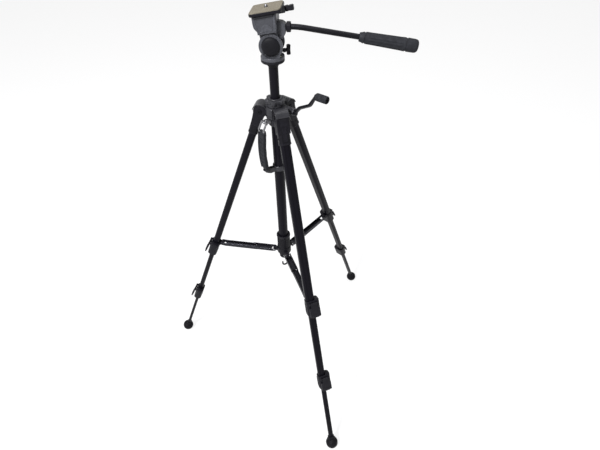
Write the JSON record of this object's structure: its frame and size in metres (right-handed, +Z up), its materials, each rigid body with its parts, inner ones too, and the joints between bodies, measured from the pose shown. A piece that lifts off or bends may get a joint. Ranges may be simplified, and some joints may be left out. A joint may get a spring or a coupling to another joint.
{
  "type": "camera tripod",
  "caption": "Folding camera tripod: telescoping legs with flip clamps, spreader, geared column with crank, carrying handle, and pan and tilt head with quick-release plate and handle.",
  "frame": {"origin": "on the floor, under the centre column's axis, legs spread", "axes": "+Z up along the column, front leg towards -Y"},
  "size_m": [0.7316, 0.6386, 1.1795],
  "materials": {
    "anodised_tube": "dark satin anodised",
    "column_tube": "dark satin anodised",
    "casting": "fine-textured moulding",
    "clamp_plastic": "satin moulding",
    "lever_plastic": "satin moulding",
    "head_plastic": "fine-textured moulding",
    "cover_plastic": "smooth satin moulding",
    "grip_plastic": "ribbed moulding",
    "steel_bright": "polished",
    "steel_dark": "semi-gloss black",
    "cork": "cork sheet",
    "foot_rubber": "moulded rubber",
    "rack_plastic": "moulded nylon",
    "vial": "clear acrylic",
    "channel_metal": "satin black"
  },
  "bodies": {
    "stand": {"shoulder_casting": "casting", "hinge_pins": "steel_bright", "center_tube": "anodised_tube", "tube_end_cap": "clamp_plastic", "carry_grip": "grip_plastic", "carry_bracket": "steel_bright"},
    "hook": {"weight_hook": "steel_dark"},
    "lock_ring": {"lock_ring": "casting"},
    "column": {"center_column": "column_tube", "column_rack": "rack_plastic", "pan_base": "cover_plastic"},
    "crank": {"crank_shaft": "steel_dark", "crank_arm": "steel_dark"},
    "crank_knob": {"crank_knob": "grip_plastic"},
    "brace_hub": {"brace_hub": "clamp_plastic"},
    "pan": {"pan_housing": "head_plastic", "spirit_level": "vial"},
    "pan_lock": {"pan_knob": "clamp_plastic"},
    "tilt": {"tilt_platform": "head_plastic", "tilt_covers": "cover_plastic"},
    "handle_nut": {"handle_nut": "clamp_plastic"},
    "handle": {"handle_arm": "steel_dark", "handle_grip": "grip_plastic"},
    "qr_lever": {"qr_lever": "lever_plastic"},
    "qr_plate": {"qr_plate": "clamp_plastic", "cork_pad": "cork"},
    "camera_screw": {"camera_screw": "steel_bright"},
    "leg_front": {"leg_top_front": "casting", "leg_main_front": "anodised_tube", "clamp_upper_front": "clamp_plastic"},
    "mid_front": {"leg_mid_front": "anodised_tube", "clamp_lower_front": "clamp_plastic"},
    "low_front": {"leg_low_front": "anodised_tube", "foot_front": "foot_rubber"},
    "upper_lever_front": {"lever_upper_front": "lever_plastic"},
    "lower_lever_front": {"lever_lower_front": "lever_plastic"},
    "channel_front": {"brace_channel_front": "channel_metal"},
    "fork_front": {"brace_fork_front": "channel_metal"},
    "leg_right": {"leg_top_right": "casting", "leg_main_right": "anodised_tube", "clamp_upper_right": "clamp_plastic"},
    "mid_right": {"leg_mid_right": "anodised_tube", "clamp_lower_right": "clamp_plastic"},
    "low_right": {"leg_low_right": "anodised_tube", "foot_right": "foot_rubber"},
    "upper_lever_right": {"lever_upper_right": "lever_plastic"},
    "lower_lever_right": {"lever_lower_right": "lever_plastic"},
    "channel_right": {"brace_channel_right": "channel_metal"},
    "fork_right": {"brace_fork_right": "channel_metal"},
    "leg_left": {"leg_top_left": "casting", "leg_main_left": "anodised_tube", "clamp_upper_left": "clamp_plastic"},
    "mid_left": {"leg_mid_left": "anodised_tube", "clamp_lower_left": "clamp_plastic"},
    "low_left": {"leg_low_left": "anodised_tube", "foot_left": "foot_rubber"},
    "upper_lever_left": {"lever_upper_left": "lever_plastic"},
    "lower_lever_left": {"lever_lower_left": "lever_plastic"},
    "channel_left": {"brace_channel_left": "channel_metal"},
    "fork_left": {"brace_fork_left": "channel_metal"}
  },
  "joints": [
    {"name": "hook_swivel", "type": "hinge", "parent": "stand", "child": "hook", "pos_m": [0, 0, 0.46], "axis": [0, 0, 1], "continuous": true},
    {"name": "column_slide", "type": "slide", "parent": "stand", "child": "column", "axis": [0, 0, 1], "range_m": [-0.06, 0.2]},
    {"name": "lock_ring_turn", "type": "hinge", "parent": "stand", "child": "lock_ring", "pos_m": [0, 0, 0.9715], "axis": [0, 0, 1], "range_deg": [0, 120]},
    {"name": "crank_turn", "type": "hinge", "parent": "stand", "child": "crank", "pos_m": [0.01342, 0.00775, 0.952], "axis": [0.5, -0.866, 0], "range_deg": [-1950, 600]},
    {"name": "crank_knob_spin", "type": "hinge", "parent": "crank", "child": "crank_knob", "pos_m": [0.03421, 0.01975, 0.99357], "axis": [0.5, -0.866, 0], "continuous": true},
    {"name": "hub_slide", "type": "slide", "parent": "stand", "child": "brace_hub", "axis": [0, 0, 1], "range_m": [0, 0.13864]},
    {"name": "pan_turn", "type": "hinge", "parent": "column", "child": "pan", "pos_m": [0, 0, 1.071], "axis": [0, 0, 1], "continuous": true},
    {"name": "pan_lock_turn", "type": "hinge", "parent": "pan", "child": "pan_lock", "pos_m": [0, 0, 1.0835], "axis": [0.9962, 0.0872, 0], "continuous": true},
    {"name": "tilt_turn", "type": "hinge", "parent": "pan", "child": "tilt", "pos_m": [0, 0, 1.102], "axis": [-0.4226, -0.9063, 0], "range_deg": [-60, 80]},
    {"name": "handle_nut_turn", "type": "hinge", "parent": "tilt", "child": "handle_nut", "pos_m": [0.03246, -0.01514, 1.13638], "axis": [0.9063, -0.4226, 0], "range_deg": [0, 180]},
    {"name": "handle_twist", "type": "hinge", "parent": "tilt", "child": "handle", "pos_m": [0.03246, -0.01514, 1.13638], "axis": [0.9063, -0.4226, 0], "range_deg": [-90, 90]},
    {"name": "qr_lever_turn", "type": "hinge", "parent": "tilt", "child": "qr_lever", "pos_m": [0.0383, 0.00421, 1.16328], "axis": [-0.1496, 0.0698, 0.9863], "range_deg": [0, 75]},
    {"name": "qr_plate_lift", "type": "slide", "parent": "tilt", "child": "qr_plate", "axis": [-0.1496, 0.0698, 0.9863], "range_m": [0, 0.03]},
    {"name": "camera_screw_spin", "type": "hinge", "parent": "qr_plate", "child": "camera_screw", "pos_m": [-0.00477, 0.00223, 1.16195], "axis": [-0.1496, 0.0698, 0.9863], "continuous": true},
    {"name": "leg_front_fold", "type": "hinge", "parent": "stand", "child": "leg_front", "pos_m": [0, -0.036, 0.95], "axis": [1, 0, 0], "range_deg": [0, 19.4]},
    {"name": "mid_front_slide", "type": "slide", "parent": "leg_front", "child": "mid_front", "axis": [0, -0.3649, -0.9311], "range_m": [-0.2, 0.15]},
    {"name": "low_front_slide", "type": "slide", "parent": "mid_front", "child": "low_front", "axis": [0, -0.3649, -0.9311], "range_m": [-0.186, 0.15]},
    {"name": "upper_lever_front_flip", "type": "hinge", "parent": "leg_front", "child": "upper_lever_front", "pos_m": [0, -0.23144, 0.49762], "axis": [-1, 0, 0], "range_deg": [0, 110]},
    {"name": "lower_lever_front_flip", "type": "hinge", "parent": "mid_front", "child": "lower_lever_front", "pos_m": [0, -0.32162, 0.26338], "axis": [-1, 0, 0], "range_deg": [0, 110]},
    {"name": "channel_front_swing", "type": "hinge", "parent": "leg_front", "child": "channel_front", "pos_m": [0, -0.19428, 0.4924], "axis": [1, 0, 0], "range_deg": [0, 69.33]},
    {"name": "fork_front_swing", "type": "hinge", "parent": "brace_hub", "child": "fork_front", "pos_m": [0, -0.0295, 0.4924], "axis": [1, 0, 0], "range_deg": [0, 88.73]},
    {"name": "leg_right_fold", "type": "hinge", "parent": "stand", "child": "leg_right", "pos_m": [0.03118, 0.018, 0.95], "axis": [-0.5, 0.866, 0], "range_deg": [0, 19.4]},
    {"name": "mid_right_slide", "type": "slide", "parent": "leg_right", "child": "mid_right", "axis": [0.316, 0.1824, -0.9311], "range_m": [-0.2, 0.15]},
    {"name": "low_right_slide", "type": "slide", "parent": "mid_right", "child": "low_right", "axis": [0.316, 0.1824, -0.9311], "range_m": [-0.186, 0.15]},
    {"name": "upper_lever_right_flip", "type": "hinge", "parent": "leg_right", "child": "upper_lever_right", "pos_m": [0.20043, 0.11572, 0.49762], "axis": [0.5, -0.866, 0], "range_deg": [0, 110]},
    {"name": "lower_lever_right_flip", "type": "hinge", "parent": "mid_right", "child": "lower_lever_right", "pos_m": [0.27853, 0.16081, 0.26338], "axis": [0.5, -0.866, 0], "range_deg": [0, 110]},
    {"name": "channel_right_swing", "type": "hinge", "parent": "leg_right", "child": "channel_right", "pos_m": [0.16825, 0.09714, 0.4924], "axis": [-0.5, 0.866, 0], "range_deg": [0, 69.33]},
    {"name": "fork_right_swing", "type": "hinge", "parent": "brace_hub", "child": "fork_right", "pos_m": [0.02555, 0.01475, 0.4924], "axis": [-0.5, 0.866, 0], "range_deg": [0, 88.73]},
    {"name": "leg_left_fold", "type": "hinge", "parent": "stand", "child": "leg_left", "pos_m": [-0.03118, 0.018, 0.95], "axis": [-0.5, -0.866, 0], "range_deg": [0, 19.4]},
    {"name": "mid_left_slide", "type": "slide", "parent": "leg_left", "child": "mid_left", "axis": [-0.316, 0.1824, -0.9311], "range_m": [-0.2, 0.15]},
    {"name": "low_left_slide", "type": "slide", "parent": "mid_left", "child": "low_left", "axis": [-0.316, 0.1824, -0.9311], "range_m": [-0.186, 0.15]},
    {"name": "upper_lever_left_flip", "type": "hinge", "parent": "leg_left", "child": "upper_lever_left", "pos_m": [-0.20043, 0.11572, 0.49762], "axis": [0.5, 0.866, 0], "range_deg": [0, 110]},
    {"name": "lower_lever_left_flip", "type": "hinge", "parent": "mid_left", "child": "lower_lever_left", "pos_m": [-0.27853, 0.16081, 0.26338], "axis": [0.5, 0.866, 0], "range_deg": [0, 110]},
    {"name": "channel_left_swing", "type": "hinge", "parent": "leg_left", "child": "channel_left", "pos_m": [-0.16825, 0.09714, 0.4924], "axis": [-0.5, -0.866, 0], "range_deg": [0, 69.33]},
    {"name": "fork_left_swing", "type": "hinge", "parent": "brace_hub", "child": "fork_left", "pos_m": [-0.02555, 0.01475, 0.4924], "axis": [-0.5, -0.866, 0], "range_deg": [0, 88.73]}
  ],
  "couplings": [
    {"joint": "crank_turn", "follows": "column_slide", "rad_per_m": -166.67},
    {"joint": "hub_slide", "follows": "leg_front_fold", "m_per_rad": 0.40798},
    {"joint": "channel_front_swing", "follows": "leg_front_fold", "ratio": 3.5711},
    {"joint": "fork_front_swing", "follows": "leg_front_fold", "ratio": 4.5711},
    {"joint": "leg_right_fold", "follows": "leg_front_fold", "ratio": 1},
    {"joint": "channel_right_swing", "follows": "leg_front_fold", "ratio": 3.5711},
    {"joint": "fork_right_swing", "follows": "leg_front_fold", "ratio": 4.5711},
    {"joint": "leg_left_fold", "follows": "leg_front_fold", "ratio": 1},
    {"joint": "channel_left_swing", "follows": "leg_front_fold", "ratio": 3.5711},
    {"joint": "fork_left_swing", "follows": "leg_front_fold", "ratio": 4.5711}
  ]
}
